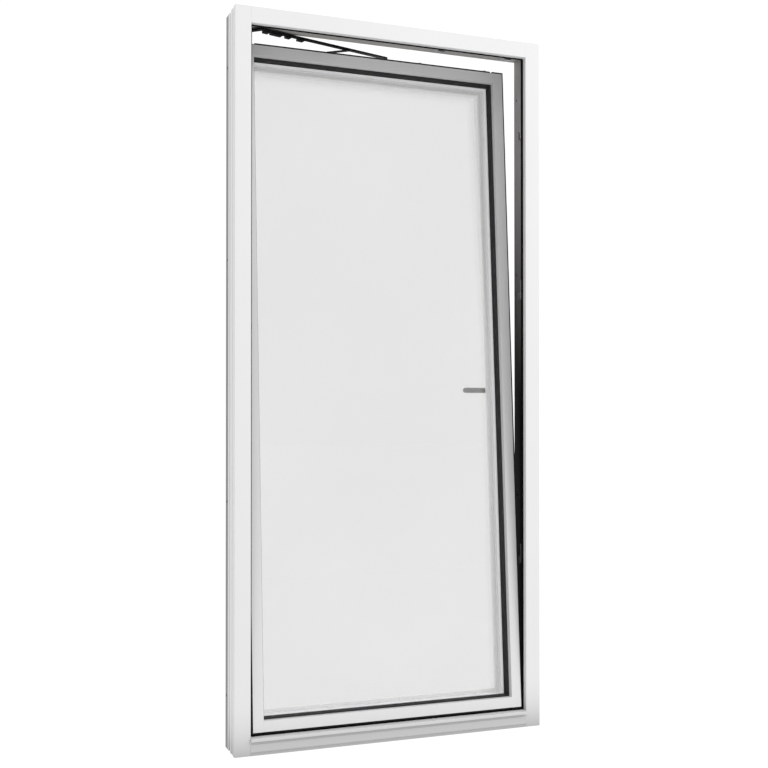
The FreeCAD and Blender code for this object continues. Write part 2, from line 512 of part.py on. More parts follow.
# ------------------------------------------------------------------ lock gear
def build_gear():
    rod_in, rod_back = "rod_in", "rod_in + rod_t"
    near, far = "rod_line - rod_half + 0.5", "rod_line + rod_half - 0.5"

    flat = [(across(1, rod_back), near), (across(1, rod_in), near),
            (across(1, rod_in), far), (across(1, rod_back), far)]
    keep(prism("StileRod", "XY_Plane", flat, "240", "1950"), "lock_rod_stile", TILT)
    cams = []
    for height in STILE_CAMS:
        cams.append(rod(f"CamStem{height}", "cam_stem", (across(1, rod_in), "rod_line", height),
                        "rod_in - cam_out", "x"))
        cams.append(rod(f"CamHead{height}", "cam_r", (across(1, "cam_out + 2.5"), "rod_line", height),
                        "2.5", "x"))
    keep(join("StileCams", cams), "lock_cams_stile", TILT)

    top_parts = [block("TopRodBar", (across(-1, TOP_CAMS[0] - 35), near, below_top(rod_back)),
                       (across(-1, TOP_CAMS[1] + 15), far, below_top(rod_in)))]
    for place in TOP_CAMS:
        top_parts.append(rod(f"TopStem{place}", "cam_stem",
                             (across(-1, place), "rod_line", below_top(rod_in)), "rod_in - cam_out"))
        top_parts.append(rod(f"TopHead{place}", "cam_r",
                             (across(-1, place), "rod_line", below_top("cam_out + 2.5")), "2.5"))
    keep(join("TopRod", top_parts), "lock_rod_top", TILT)

    slot = "throw + cam_stem + 0.6"
    plate = block("FacePlateBar", (across(1, "wood_edge + 2"), "rod_line - rod_half", "230"),
                  (across(1, "wood_edge"), "rod_line + rod_half", "1990"))
    slots = [block(f"FaceSlot{height}", (across(1, "wood_edge + 3"), "rod_line - cam_stem - 0.5",
                                         f"{height} - ({slot})"),
                   (across(1, "wood_edge - 1"), "rod_line + cam_stem + 0.5", f"{height} + {slot}"))
             for height in STILE_CAMS]
    keep(cut("FacePlate", plate, join("FaceSlots", slots)), "lock_face_plate", TILT)

    case = block("GearCase", (across(1, "71.7"), near, "handle_z - 64"),
                 (across(1, "rod_in + rod_t + 0.4"), far, "handle_z + 64"))
    case_bore = rod("GearBore", "8.05", (across(1, "handle_edge"), "rod_line - 8", "handle_z"), "16", "y")
    keep(cut("GearBox", case, case_bore), "gearbox", TILT)

    spindle = block("SpindleBar", (f"{across(1, 'handle_edge')} - 3.5", far, "handle_z - 3.5"),
                    (f"{across(1, 'handle_edge')} + 3.5", "grip_y", "handle_z + 3.5"))
    pinion = rod("Pinion", "8", (across(1, "handle_edge"), near, "handle_z"), "2 * rod_half - 1", "y")
    keep(join("Spindle", [spindle, pinion]), "handle_spindle", TILT)

    guide = block("GuideBar", (across(-1, "270"), "rod_line - rod_half", below_top("wood_edge + 2")),
                  (across(-1, "550"), "rod_line + rod_half", below_top("wood_edge")))
    link_stud = "arm_end - arm_reach - link_len"
    guide_slots = [
        block("GuideSlot" + tag, (across(-1, low), "rod_line - slot_half", below_top("wood_edge + 3")),
              (across(-1, high), "rod_line + slot_half", below_top("wood_edge - 1")))
        for tag, low, high in (("Link", f"{link_stud} - 8", f"{link_stud} + 26"),
                               ("End", "arm_end - 9", "arm_end + 9"))]
    keep(cut("StayGuide", guide, join("GuideSlots", guide_slots)), "stay_guide", TILT)

    bracket = block("BracketPlate", (across(-1, "35"), "rod_line - rod_half", "tilt_z - 8"),
                    (across(-1, "wood_edge"), "sash_back - 14", "tilt_z + 90"))
    bracket_hole = rod("BracketHole", "3 + fit_gap", (across(-1, "34"), "tilt_y", "tilt_z"), "6", "x")
    keep(cut("HingeBracket", bracket, bracket_hole), "hinge_bracket", TILT)
    keep(join("BracketScrews", [
        rod(f"BracketScrew{lift}", "screw_r", (across(-1, "33.6"), "rod_line + 20", f"tilt_z + {lift}"),
            "24", "x") for lift in (14, 38, 62, 82)]), "bracket_screws", TILT)

    keep(pin("PivotStub", "4", (across(1, "wood_edge + 21"), "tilt_y", "tilt_z"), "28"),
         "tilt_pivot_stub", TILT)


def build_keepers():
    """Keepers hook round a locked cam and stay open to the room beside it."""
    front, back = "rod_line - cam_r - keeper_t - 0.7", "rod_line + cam_r + 0.7"
    reach, base = "keeper_out", "wall_w + 2.5"
    shapes = []
    screws = []
    for height in STILE_CAMS:
        low, high = f"{height} - throw - 14", f"{height} + throw + 10"
        tag = f"Stile{height}"
        shapes.append(join("Keeper" + tag, [
            block("KeeperBase" + tag, (across(1, base), front, low),
                  (across(1, "wall_w"), f"{back} + keeper_t", high)),
            block("KeeperFront" + tag, (across(1, reach), front, low),
                  (across(1, "wall_w"), f"{front} + keeper_t", high)),
            block("KeeperHook" + tag, (across(1, reach), back, low),
                  (across(1, "wall_w"), f"{back} + keeper_t", f"{height} - throw + 8"))]))
        for number, place in enumerate((f"{height} - throw - 9", f"{height} + throw + 5")):
            screws.append(rod(f"KeeperScrew{tag}{number}", "screw_r",
                              (across(1, "wall_w + 2.9"), "rod_line", place), "18", "x"))
    for place in TOP_CAMS:
        low, high = f"{place} - throw - 10", f"{place} + throw + 14"
        tag = f"Top{place}"
        shapes.append(join("Keeper" + tag, [
            block("KeeperBase" + tag, (across(-1, low), front, below_top(base)),
                  (across(-1, high), f"{back} + keeper_t", below_top("wall_w"))),
            block("KeeperFront" + tag, (across(-1, low), front, below_top(reach)),
                  (across(-1, high), f"{front} + keeper_t", below_top("wall_w"))),
            block("KeeperHook" + tag, (across(-1, f"{place} + throw - 8"), back, below_top(reach)),
                  (across(-1, high), f"{back} + keeper_t", below_top("wall_w")))]))
        for number, spot in enumerate((f"{place} - throw - 5", f"{place} + throw + 9")):
            screws.append(rod(f"KeeperScrew{tag}{number}", "screw_r",
                              (across(-1, spot), "rod_line", below_top("wall_w + 2.9")), "18"))
    keep(join("Keepers", shapes), "keepers")
    keep(join("KeeperScrews", screws), "keeper_screws")

    cup = block("PivotCup", (across(1, "33"), "tilt_y - 7", "tilt_z - 9"),
                (across(1, "wall_w"), "tilt_y + 14", "tilt_z + 9"))
    mouth = block("PivotMouth", (across(1, "34"), "tilt_y - 4.4", "tilt_z - 4.6"),
                  (across(1, "28"), "tilt_y + 15", "tilt_z + 4.6"))
    keep(cut("PivotKeeper", cup, mouth), "tilt_pivot_keeper")


def build_handle():
    axis_x = across(1, "handle_edge")
    rose = prism("RoseSolid", "XY_Plane",
                 [(f"{axis_x} - 15", "sash_back"), (f"{axis_x} + 15", "sash_back"),
                  (f"{axis_x} + 15", "sash_back + 9"), (f"{axis_x} - 15", "sash_back + 9")],
                 "handle_z - 35", "handle_z + 35")
    rose_bore = rod("RoseBore", "8 + fit_gap", (axis_x, "sash_back - 1", "handle_z"), "11", "y")
    keep(cut("HandleRose", rose, rose_bore), "handle_rose", TILT)

    grip = prism("Grip", "XY_Plane",
                 [(f"{axis_x} - grip_len", "grip_y"), (f"{axis_x} + grip_w / 2", "grip_y"),
                  (f"{axis_x} + grip_w / 2", "grip_y + grip_t"),
                  (f"{axis_x} - grip_len", "grip_y + grip_t")],
                 "handle_z - grip_w / 2", "handle_z + grip_w / 2")
    rounding = grip.newObject("PartDesign::Fillet", "GripRounding")
    rounding.Base = (grip.Group[-2], [])
    rounding.UseAllEdges = True
    rounding.Radius = 4
    grip.Tip = rounding
    neck = rod("HandleNeck", "8", (axis_x, "sash_back + 1", "handle_z"), "grip_y - sash_back + 3", "y")
    spindle_seat = block("SpindleSeat", (f"{axis_x} - 3.5", "sash_back", "handle_z - 3.5"),
                         (f"{axis_x} + 3.5", "grip_y", "handle_z + 3.5"))
    keep(cut("HandleLever", join("LeverSolid", [grip, neck]), spindle_seat), "handle_lever", TILT)


def check_and_write():
    """Stop on a failed feature or a bad shape, then write every piece to its own file."""
    doc.recompute()
    for item in doc.Objects:
        if "Invalid" in item.State or "Error" in item.State:
            raise RuntimeError(f"{item.Label} failed: {item.State}")
    os.makedirs("parts", exist_ok=True)
    for piece in pieces:
        shape = piece.Shape
        if shape.isNull() or not shape.isValid() or not shape.Solids:
            raise RuntimeError(f"{piece.Label} has no valid shape")
    for piece in pieces:
        piece.Shape.exportStep(f"parts/{piece.Label}.step")
    print(f"{len(pieces)} pieces; arm turns {math.degrees(ARM_TURN):.4f},",
          f"link {math.degrees(LINK_TURN):.4f}, pivot {PIVOT_OPEN}")


build_frame()
build_hinges()
build_stay()
build_sash()
build_gear()
build_keepers()
build_handle()
check_and_write()
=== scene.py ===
"""Looks of a tilt-and-turn window: powder-coated aluminium outside, dark timber and composite inside."""
import json
import math

import bmesh
import bpy
from mathutils import Matrix, Vector


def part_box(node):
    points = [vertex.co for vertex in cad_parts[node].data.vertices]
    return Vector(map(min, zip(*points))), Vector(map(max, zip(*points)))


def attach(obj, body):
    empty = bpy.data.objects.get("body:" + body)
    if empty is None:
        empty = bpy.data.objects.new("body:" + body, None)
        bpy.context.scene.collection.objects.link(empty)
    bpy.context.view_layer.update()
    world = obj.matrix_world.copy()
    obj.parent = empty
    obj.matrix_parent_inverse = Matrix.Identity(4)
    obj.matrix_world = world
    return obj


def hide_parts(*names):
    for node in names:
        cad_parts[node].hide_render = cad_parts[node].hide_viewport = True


bl_info = {
    "name": "Tilt-and-turn window finish",
    "version": (1, 0, 0),
    "blender": (4, 5, 0),
    "location": "3D View > Sidebar > Window",
    "description": "Finishes the pieces of a tilt-and-turn window around its CAD frame",
    "category": "Object",
}

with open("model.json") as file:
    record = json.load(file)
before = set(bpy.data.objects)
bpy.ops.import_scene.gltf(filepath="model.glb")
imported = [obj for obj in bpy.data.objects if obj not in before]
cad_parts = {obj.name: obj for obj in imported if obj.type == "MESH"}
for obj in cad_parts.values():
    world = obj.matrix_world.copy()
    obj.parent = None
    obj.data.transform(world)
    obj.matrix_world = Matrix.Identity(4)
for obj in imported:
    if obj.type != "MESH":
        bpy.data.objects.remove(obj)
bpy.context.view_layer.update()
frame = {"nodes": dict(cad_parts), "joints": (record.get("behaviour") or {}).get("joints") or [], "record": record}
MM = 0.001
SIDES = ("left", "right", "top", "bottom")

# The shut sash turns about this level axis; its pieces rest at the joint's open stop.
TILT_JOINT = next(j for j in frame["joints"] if j["name"] == "sash_tilt")
TILT_ANGLE = math.radians(-TILT_JOINT["range_deg"][0])
TILT_CENTRE = Vector(TILT_JOINT["pos_m"])
TILT = (Matrix.Translation(TILT_CENTRE)
        @ Matrix.Rotation(TILT_ANGLE, 4, Vector(TILT_JOINT["axis"]))
        @ Matrix.Translation(-TILT_CENTRE))
LEFT_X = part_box("jamb_cladding_left")[0].x
RIGHT_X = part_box("jamb_cladding_right")[1].x
TOP_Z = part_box("head_cladding")[1].z

# Between these heights, in metres, the rebate goes from its own colour to a paler one: painted light, lighter
# towards the head where the opening is wide.
PAINTED_LIGHT_FOOT, PAINTED_LIGHT_HEAD = 0.9, 2.05
# The dark liner's outer side starts here, out from mid-width, and its haze is full a little further out.
OUTER_SIDE, HAZE_FULL = 0.464, 0.468
# The liner's face towards the room lies behind this depth.
ROOM_FACE = 0.1135
# A ring's section is nowhere this wide, in millimetres, so this limit leaves it as it is.
UNPRESSED = 1000.0
# Handle, drawn with the sash shut, in millimetres: its axis, the rose and the grip.
HANDLE_IN, HANDLE_Z = 63.0, 1036.0
ROSE_HALF_W, ROSE_HALF_H, ROSE_CORNER = 15.0, 35.0, 9.0
SASH_FACE, ROSE_FACE = 110.0, 119.0
GRIP_REACH, GRIP_HALF, GRIP_NEAR, GRIP_FAR = 97.0, 8.5, 144.0, 156.0
# Keeps the two ends of a full round from meeting in one point.
ROUND_GAP = 0.01


# ------------------------------------------------------------------ helpers
def srgb(code):
    """A hex colour as linear red, green, blue and alpha."""
    values = [int(code[i:i + 2], 16) / 255 for i in (1, 3, 5)]
    return [v / 12.92 if v <= 0.04045 else ((v + 0.055) / 1.055) ** 2.4 for v in values] + [1.0]


def add(tree, kind, inputs=None, **settings):
    """Add a node with its settings; inputs maps a socket to a value or to another node's socket."""
    made = tree.nodes.new(kind)
    for key, value in settings.items():
        setattr(made, key, value)
    for key, value in (inputs or {}).items():
        if isinstance(value, bpy.types.NodeSocket):
            tree.links.new(value, made.inputs[key])
        else:
            made.inputs[key].default_value = value
    return made


def finish_material(name, build):
    """A material whose surface is what build(tree) returns."""
    if name in bpy.data.materials:
        return bpy.data.materials[name]
    material = bpy.data.materials.new(name)
    material.use_nodes = True
    tree = material.node_tree
    tree.nodes.clear()
    add(tree, "ShaderNodeOutputMaterial", {"Surface": build(tree).outputs[0]})
    return material


def piece_from(name, mesh, body, material, replaces=()):
    """Register a finished mesh as a piece that rides on a body."""
    piece = bpy.data.objects.new(name, mesh)
    bpy.context.scene.collection.objects.link(piece)
    mesh.materials.clear()
    mesh.materials.append(material)
    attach(piece, body)
    if replaces:
        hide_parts(*replaces)
    return piece


def baked(source):
    """The mesh that an object's modifiers give; the object itself is removed."""
    bpy.context.view_layer.update()
    evaluated = source.evaluated_get(bpy.context.evaluated_depsgraph_get())
    mesh = bpy.data.meshes.new_from_object(evaluated)
    source.modifiers.clear()
    bpy.data.objects.remove(source)
    return mesh


def body_of(node):
    """The body that carries a CAD node."""
    return next(body for body, nodes in frame["record"]["behaviour"]["bodies"].items() if node in nodes)


def smooth_by_angle(mesh, degrees=35):
    """Smooth shading with sharp edges kept."""
    mesh.shade_smooth()
    mesh.set_sharp_from_angle(angle=math.radians(degrees))


def flat_lit(mesh):
    """Normals that follow the large faces, so that only the rounded edges catch the light."""
    smooth_by_angle(mesh, 50)
    source = bpy.data.objects.new("normals_source", mesh)
    bpy.context.scene.collection.objects.link(source)
    weigh = source.modifiers.new("normals", "WEIGHTED_NORMAL")
    weigh.weight = 100
    weigh.keep_sharp = True
    return baked(source)


def eased(node, width_mm, material, segments=2, along=None):
    """A CAD node's shape with its sharp edges broken; with along, only the edges that run that way."""
    mesh = frame["nodes"][node].data.copy()
    mesh.materials.clear()
    work = bmesh.new()
    work.from_mesh(mesh)
    bmesh.ops.remove_doubles(work, verts=work.verts, dist=1e-6)
    bmesh.ops.dissolve_limit(work, angle_limit=math.radians(0.5), verts=work.verts, edges=work.edges)
    weights = work.edges.layers.float.new("bevel_weight_edge")
    way = Vector([float(axis == along) for axis in range(3)])
    for edge in work.edges:
        run = (edge.verts[1].co - edge.verts[0].co).normalized()
        corner = edge.is_manifold and edge.calc_face_angle(0.0) > math.radians(40)
        edge[weights] = float(corner and (along is None or abs(run.dot(way)) > 0.9))
    work.to_mesh(mesh)
    work.free()
    source = bpy.data.objects.new(node + "_source", mesh)
    bpy.context.scene.collection.objects.link(source)
    bevel = source.modifiers.new("edge", "BEVEL")
    bevel.width = width_mm * MM
    bevel.segments = segments
    bevel.limit_method = "WEIGHT"
    result = flat_lit(baked(source))
    return piece_from(node + "_finished", result, body_of(node), material, (node,))


def swept_ring(name, section, on_sash, head_limit=UNPRESSED):
    """A mitred ring round the opening; section lists (in from the frame's edge, depth) in millimetres.

    At the head the section is pressed back to head_limit in from the frame's edge.
    """
    work = bmesh.new()
    corners = []
    for side_x, sign_x, base_z, sign_z, limit in (
            (LEFT_X, 1, 0, 1, UNPRESSED), (RIGHT_X, -1, 0, 1, UNPRESSED),
            (RIGHT_X, -1, TOP_Z, -1, head_limit), (LEFT_X, 1, TOP_Z, -1, head_limit)):
        corners.append([work.verts.new((side_x + sign_x * edge * MM, depth * MM,
                                        base_z + sign_z * min(edge, limit) * MM))
                        for edge, depth in section])
    for number, corner in enumerate(corners):
        following = corners[(number + 1) % 4]
        for i in range(len(section)):
            j = (i + 1) % len(section)
            work.faces.new((corner[i], corner[j], following[j], following[i]))
    bmesh.ops.recalc_face_normals(work, faces=work.faces)
    mesh = bpy.data.meshes.new(name)
    work.to_mesh(mesh)
    work.free()
    if on_sash:
        mesh.transform(TILT)
    smooth_by_angle(mesh, 40)
    return mesh


def arc(centre, radius, start, end, steps):
    """Points of a circular arc, angles in degrees."""
    return [(centre[0] + radius * math.cos(math.radians(start + (end - start) * i / steps)),
             centre[1] + radius * math.sin(math.radians(start + (end - start) * i / steps)))
            for i in range(steps + 1)]


def parts_of(node):
    """Lowest and highest corner of each separate solid of a CAD node."""
    work = bmesh.new()
    work.from_mesh(frame["nodes"][node].data)
    bmesh.ops.remove_doubles(work, verts=work.verts, dist=1e-6)
    boxes, seen = [], set()
    for start in work.verts:
        if start in seen:
            continue
        group, queue = [], [start]
        seen.add(start)
        while queue:
            vert = queue.pop()
            group.append(vert.co.copy())
            for edge in vert.link_edges:
                other = edge.other_vert(vert)
                if other not in seen:
                    seen.add(other)
                    queue.append(other)
        boxes.append((Vector(min(c[i] for c in group) for i in range(3)),
                      Vector(max(c[i] for c in group) for i in range(3))))
    work.free()
    return boxes


def loft(work, outlines):
    """Skin a closed solid over a stack of outlines that have the same number of points."""
    rows = [[work.verts.new(point) for point in outline] for outline in outlines]
    for low, high in zip(rows, rows[1:]):
        for i in range(len(low)):
            j = (i + 1) % len(low)
            work.faces.new((low[i], low[j], high[j], high[i]))
    work.faces.new(list(reversed(rows[0])))
    work.faces.new(rows[-1])


def rounded_outline(low, high, radius, depth, steps=8):
    """A rounded rectangle in X and Z at one depth; low and high are its corners, in millimetres."""
    points = []
    for x, z, start in ((high[0] - radius, high[1] - radius, 0), (low[0] + radius, high[1] - radius, 90),
                        (low[0] + radius, low[1] + radius, 180), (high[0] - radius, low[1] + radius, 270)):
        points += arc((x, z), radius, start, start + 90, steps)
    return [(x * MM, depth * MM, z * MM) for x, z in points]


def solid_on_sash(name, solids):
    """Closed lofts, drawn with the sash shut, as one smooth mesh in the sash's rest place."""
    work = bmesh.new()
    for outlines in solids:
        loft(work, outlines)
    bmesh.ops.recalc_face_normals(work, faces=work.faces)
    mesh = bpy.data.meshes.new(name)
    work.to_mesh(mesh)
    work.free()
    mesh.transform(TILT)
    smooth_by_angle(mesh, 32)
    return mesh


# ------------------------------------------------------------------ fasteners
def fastener_tree():
    """Geometry nodes: a headed fastener with a hexagon socket, set out on every point it is given."""
    name = "headed_fastener"
    if name in bpy.data.node_groups:
        return bpy.data.node_groups[name]
    tree = bpy.data.node_groups.new(name, "GeometryNodeTree")
    tree.is_modifier = True
    tree.interface.new_socket("Places", in_out="INPUT", socket_type="NodeSocketGeometry")
    for socket, value in (("Head Top Radius", 3.4), ("Head Base Radius", 3.6), ("Head Height", 1.6),
                          ("Shank Radius", 2.0), ("Length", 18.0), ("Recess Radius", 1.3),
                          ("Recess Depth", 1.0)):
        item = tree.interface.new_socket(socket, in_out="INPUT", socket_type="NodeSocketFloat")
        item.default_value = value * MM
        item.subtype = "DISTANCE"
    tree.interface.new_socket("Finish", in_out="INPUT", socket_type="NodeSocketMaterial")
    tree.interface.new_socket("Geometry", in_out="OUTPUT", socket_type="NodeSocketGeometry")
    given = add(tree, "NodeGroupInput").outputs

    def below(amount):
        """A vector that points down by the amount."""
        down = add(tree, "ShaderNodeMath", {0: amount, 1: -1.0}, operation="MULTIPLY")
        return add(tree, "ShaderNodeCombineXYZ", {"Z": down.outputs[0]}).outputs[0]

    def moved(geometry, offset):
        """The geometry shifted by an offset."""
        return add(tree, "GeometryNodeTransform", {"Geometry": geometry, "Translation": offset}).outputs[0]

    head = add(tree, "GeometryNodeMeshCone", {"Vertices": 32, "Radius Top": given["Head Top Radius"],
                                              "Radius Bottom": given["Head Base Radius"],
                                              "Depth": given["Head Height"]})
    shank = add(tree, "GeometryNodeMeshCylinder", {"Vertices": 20, "Radius": given["Shank Radius"],
                                                   "Depth": given["Length"]})
    half = add(tree, "ShaderNodeMath", {0: given["Length"], 1: 0.5}, operation="MULTIPLY")
    socket = add(tree, "GeometryNodeMeshCone", {"Vertices": 6, "Radius Top": given["Recess Radius"],
                                                "Radius Bottom": given["Recess Radius"],
                                                "Depth": given["Recess Depth"]})
    solid = add(tree, "GeometryNodeMeshBoolean",
                {"Mesh 2": moved(head.outputs["Mesh"], below(given["Head Height"]))}, operation="UNION")
    tree.links.new(moved(shank.outputs["Mesh"], below(half.outputs[0])), solid.inputs["Mesh 2"])
    pierced = add(tree, "GeometryNodeMeshBoolean",
                  {"Mesh 1": solid.outputs["Mesh"],
                   "Mesh 2": moved(socket.outputs["Mesh"], below(given["Recess Depth"]))},
                  operation="DIFFERENCE")
    turn = add(tree, "GeometryNodeInputNamedAttribute", {"Name": "turn"}, data_type="FLOAT_VECTOR")
    spread = add(tree, "GeometryNodeInstanceOnPoints",
                 {"Points": given["Places"], "Instance": pierced.outputs["Mesh"],
                  "Rotation": turn.outputs["Attribute"]})
    real = add(tree, "GeometryNodeRealizeInstances", {"Geometry": spread.outputs[0]})
    dressed = add(tree, "GeometryNodeSetMaterial", {"Geometry": real.outputs[0], "Material": given["Finish"]})
    add(tree, "NodeGroupOutput", {"Geometry": dressed.outputs[0]})
    return tree


def fasteners(node, at_low, sizes_mm):
    """Set out fasteners in place of a CAD node's pins; at_low maps an axis to the end that has the head."""
    places, turns, length = [], [], 0.0
    for low, high in parts_of(node):
        span = high - low
        axis = max(range(3), key=lambda i: span[i])
        start = (low + high) / 2
        start[axis] = low[axis] if at_low[axis] else high[axis]
        normal = Vector([0.0, 0.0, 0.0])
        normal[axis] = -1.0 if at_low[axis] else 1.0
        places.append(start)
        turns.append(Vector((0, 0, 1)).rotation_difference(normal).to_euler())
        length = span[axis]
    points = bpy.data.meshes.new(node + "_places")
    points.from_pydata(places, [], [])
    turn = points.attributes.new("turn", "FLOAT_VECTOR", "POINT")
    for item, value in zip(turn.data, turns):
        item.vector = value
    source = bpy.data.objects.new(node + "_places", points)
    bpy.context.scene.collection.objects.link(source)
    modifier = source.modifiers.new("fasteners", "NODES")
    modifier.node_group = fastener_tree()
    values = {name: value * MM for name, value in sizes_mm.items()}
    values["Length"] = length
    values["Finish"] = zinc_steel()
    for item in modifier.node_group.interface.items_tree:
        if item.in_out == "INPUT" and item.name in values:
            modifier[item.identifier] = values[item.name]
    mesh = baked(source)
    smooth_by_angle(mesh, 30)
    return piece_from(node + "_finished", mesh, body_of(node), zinc_steel(), (node,))


# ------------------------------------------------------------------ materials
def powder_coat(name, code, painted_foot_shade=0.0, reach_mm=200.0, fall=3.0):
    """Polyester powder coat on aluminium: matt, with a fine orange-peel grain.

    The foot is painted darker, by the amount given after code: painted shade near the floor; it is gone at
    reach_mm above the floor, and fall is how fast it fades on the way.
    """
    def build(tree):
        place = add(tree, "ShaderNodeTexCoord").outputs["Object"]
        # The real grain is about 0.4 mm; it is drawn at 1.5 mm, the finest that shows.
        grain = add(tree, "ShaderNodeTexNoise", {"Vector": place, "Scale": 1 / (1.5 * MM), "Detail": 3.0})
        cloud = add(tree, "ShaderNodeTexNoise", {"Vector": place, "Scale": 1 / (240 * MM), "Detail": 2.0})
        shade = add(tree, "ShaderNodeMix", {"Factor": cloud.outputs[0], "A": [0.965 * c for c in srgb(code)],
                                            "B": srgb(code)}, data_type="RGBA")
        # Painted shade: darker towards the floor.
        height = add(tree, "ShaderNodeSeparateXYZ", {"Vector": place}).outputs["Z"]
        near = add(tree, "ShaderNodeMapRange", {"Value": height, "From Min": 0.0, "From Max": reach_mm * MM,
                                                "To Min": 1.0, "To Max": 0.0})
        foot_shade_share = add(tree, "ShaderNodeMath", {0: near.outputs[0], 1: fall}, operation="POWER")
        kept = add(tree, "ShaderNodeMath", {0: foot_shade_share.outputs[0], 1: -painted_foot_shade, 2: 1.0},
                   operation="MULTIPLY_ADD")
        shown = add(tree, "ShaderNodeVectorMath", {0: shade.outputs["Result"], "Scale": kept.outputs[0]},
                    operation="SCALE")
        rough = add(tree, "ShaderNodeMapRange", {"Value": grain.outputs[0], "To Min": 0.40, "To Max": 0.52})
        bump = add(tree, "ShaderNodeBump", {"Height": grain.outputs[0], "Strength": 0.12,
                                            "Distance": 0.05 * MM})
        return add(tree, "ShaderNodeBsdfPrincipled",
                   {"Base Color": shown.outputs[0], "Roughness": rough.outputs[0],
                    "Normal": bump.outputs[0]})
    return finish_material(name, build)


def painted_light_rise(tree, height):
    """How much painted light a piece gets at a height: 0 at the foot to 1 at the head."""
    return add(tree, "ShaderNodeMapRange", {"Value": height, "From Min": PAINTED_LIGHT_FOOT,
                                            "From Max": PAINTED_LIGHT_HEAD}, interpolation_type="SMOOTHSTEP")


def drawn_plastic(name, code, pale, along, rough, gloss):
    """Pultruded composite: fine draw lines along its length.

    It goes from code at its foot to pale at its head: painted light, paler where the rebate opens wide at the
    head.
    """
    def build(tree):
        place = add(tree, "ShaderNodeTexCoord").outputs["Object"]
        stretch = [1 / (2.5 * MM)] * 3
        stretch[along] = 1 / (400 * MM)
        lines = add(tree, "ShaderNodeMapping", {"Vector": place, "Scale": stretch})
        draw = add(tree, "ShaderNodeTexNoise", {"Vector": lines.outputs[0], "Scale": 1.0, "Detail": 2.0})
        dust = add(tree, "ShaderNodeTexNoise", {"Vector": place, "Scale": 1 / (60 * MM), "Detail": 4.0})
        height = add(tree, "ShaderNodeSeparateXYZ", {"Vector": place}).outputs["Z"]
        # Painted light: paler towards the head.
        light_rise = painted_light_rise(tree, height)
        tone = add(tree, "ShaderNodeMix", {"Factor": light_rise.outputs[0], "A": srgb(code), "B": srgb(pale)},
                   data_type="RGBA")
        shift = add(tree, "ShaderNodeMapRange", {"Value": dust.outputs[0], "To Min": 0.9, "To Max": 1.1})
        shade = add(tree, "ShaderNodeVectorMath", {0: tone.outputs["Result"], "Scale": shift.outputs[0]},
                    operation="SCALE")
        level = add(tree, "ShaderNodeMapRange", {"Value": draw.outputs[0], "To Min": rough - 0.05,
                                                 "To Max": rough + 0.07})
        bump = add(tree, "ShaderNodeBump", {"Height": draw.outputs[0], "Strength": 0.08,
                                            "Distance": 0.05 * MM})
        return add(tree, "ShaderNodeBsdfPrincipled",
                   {"Base Color": shade.outputs[0], "Roughness": level.outputs[0],
                    "Specular IOR Level": gloss, "Normal": bump.outputs[0]})
    return finish_material(name, build)


def white_timber(name, along):
    """Pine under white satin lacquer: the grain shows only as a faint relief and drift of tone."""
    return timber(name, along, ("#e2e1df", "#ecebe9"), "#ecebe9",
                  bloom=0.0, relief=0.12, gloss=0.5, lift=0.45)


def dark_timber(name, along, pale):
    """Pine stained near black: faint long streaks, painted pale towards its head in the rebate as painted light.
    """
    return timber(name, along, ("#0a0908", "#14120f"), pale,
                  bloom=0.7, relief=0.25, gloss=0.04, lift=0.0)


def timber(name, along, streaks, pale, bloom, relief, gloss, lift):
    """Lacquered timber with its grain running along one axis.

    bloom is the haze on the outer side, and lift the glow that is seen through the panes.
    """
    def build(tree):
        place = add(tree, "ShaderNodeTexCoord").outputs["Object"]
        stretch = [1 / (9 * MM)] * 3
        stretch[along] = 1 / (260 * MM)
        run = add(tree, "ShaderNodeMapping", {"Vector": place, "Scale": stretch})
        streak = add(tree, "ShaderNodeTexNoise", {"Vector": run.outputs[0], "Scale": 1.0, "Detail": 5.0,
                                                  "Distortion": 0.6})
        ramp = add(tree, "ShaderNodeValToRGB", {"Fac": streak.outputs[0]})
        ramp.color_ramp.elements[0].position = 0.35
        ramp.color_ramp.elements[0].color = srgb(streaks[0])
        ramp.color_ramp.elements[1].position = 0.68
        ramp.color_ramp.elements[1].color = srgb(streaks[1])
        spot = add(tree, "ShaderNodeSeparateXYZ", {"Vector": place}).outputs
        outward = add(tree, "ShaderNodeMath", {0: spot["X"]}, operation="ABSOLUTE")
        light_rise = painted_light_rise(tree, spot["Z"])
        # Only the rebate gets the painted light: neither the outer side nor the face towards the room does.
        inward = add(tree, "ShaderNodeMath", {0: outward.outputs[0], 1: OUTER_SIDE},
                     operation="LESS_THAN")
        rebate = add(tree, "ShaderNodeMath", {0: spot["Y"], 1: ROOM_FACE}, operation="LESS_THAN")
        share = light_rise.outputs[0]
        for limit in (inward, rebate):
            share = add(tree, "ShaderNodeMath", {0: share, 1: limit.outputs[0]},
                        operation="MULTIPLY").outputs[0]
        tone = add(tree, "ShaderNodeMix", {"Factor": share, "A": ramp.outputs[0],
                                           "B": srgb(pale)}, data_type="RGBA")
        haze = add(tree, "ShaderNodeMapRange", {"Value": outward.outputs[0], "From Min": OUTER_SIDE,
                                                "From Max": HAZE_FULL, "To Min": 0.0, "To Max": bloom})
        rough = add(tree, "ShaderNodeMapRange", {"Value": streak.outputs[0], "To Min": 0.26, "To Max": 0.40})
        bump = add(tree, "ShaderNodeBump", {"Height": streak.outputs[0], "Strength": relief,
                                            "Distance": 0.12 * MM})
        shader = add(tree, "ShaderNodeBsdfPrincipled",
                     {"Base Color": tone.outputs["Result"], "Roughness": rough.outputs[0],
                      "Specular IOR Level": gloss, "Sheen Weight": haze.outputs[0],
                      "Sheen Roughness": 0.35, "Normal": bump.outputs[0]})
        glow_through_glass(tree, shader, pale, lift)
        return shader
    return finish_material(name, build)


